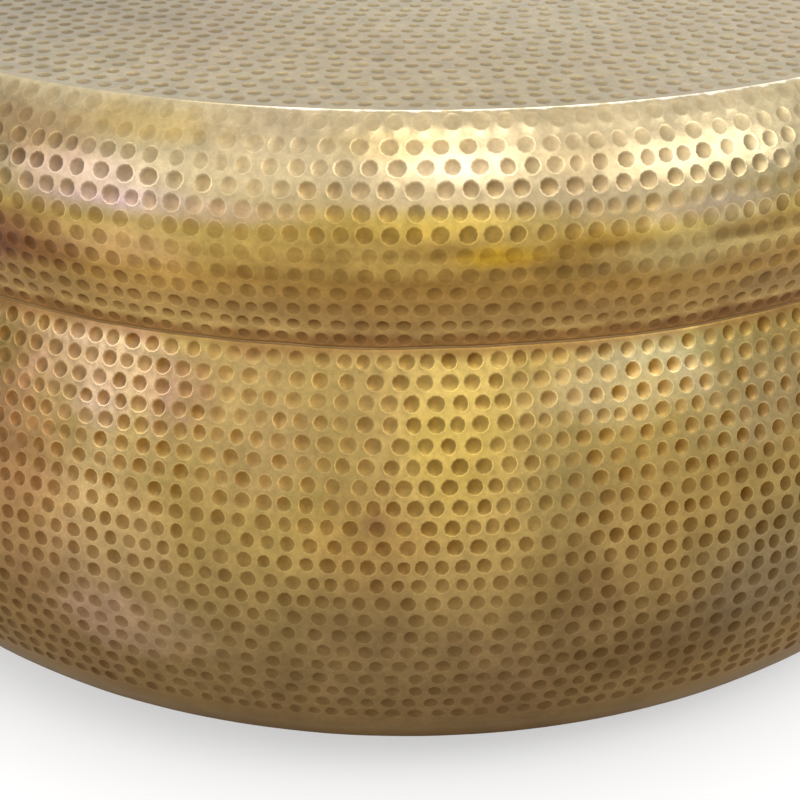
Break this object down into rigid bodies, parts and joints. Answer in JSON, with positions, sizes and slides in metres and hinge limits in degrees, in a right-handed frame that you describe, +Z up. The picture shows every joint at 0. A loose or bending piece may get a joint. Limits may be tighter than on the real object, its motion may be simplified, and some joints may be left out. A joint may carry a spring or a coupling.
{
  "type": "drum coffee table",
  "caption": "Round coffee table of hammered brass sheet: flat top, rounded shoulder, pinched waist and full belly, hollow and open underneath.",
  "frame": {"origin": "centre of the table's footprint, on the floor", "axes": "+Z up along the drum's axis; the front faces -Y; the belly's upright seams are at +X and -X"},
  "size_m": [0.914, 0.914, 0.4],
  "materials": {
    "hammered_brass": "hand-hammered, satin, lightly aged",
    "plywood": "bare plywood",
    "zinc_steel": "zinc-plated",
    "glide_rubber": "matt black"
  },
  "bodies": {
    "root": {"top_pan": "hammered_brass", "top_board": "plywood", "board_bracket_1": "zinc_steel", "board_bracket_2": "zinc_steel", "board_bracket_3": "zinc_steel", "board_bracket_4": "zinc_steel", "board_bracket_5": "zinc_steel", "board_bracket_6": "zinc_steel", "board_bracket_7": "zinc_steel", "board_bracket_8": "zinc_steel", "board_screws": "zinc_steel", "belly_front": "hammered_brass", "belly_back": "hammered_brass", "seam_strap_left": "hammered_brass", "seam_strap_right": "hammered_brass", "waist_ring": "zinc_steel", "waist_bolts": "zinc_steel", "waist_washers": "zinc_steel", "waist_nuts": "zinc_steel", "foot_ring": "zinc_steel", "glide_1": "glide_rubber", "glide_2": "glide_rubber", "glide_3": "glide_rubber", "glide_4": "glide_rubber", "glide_5": "glide_rubber", "glide_6": "glide_rubber", "glide_bolts": "zinc_steel", "glide_washers": "zinc_steel", "glide_nuts": "zinc_steel"}
  },
  "joints": []
}
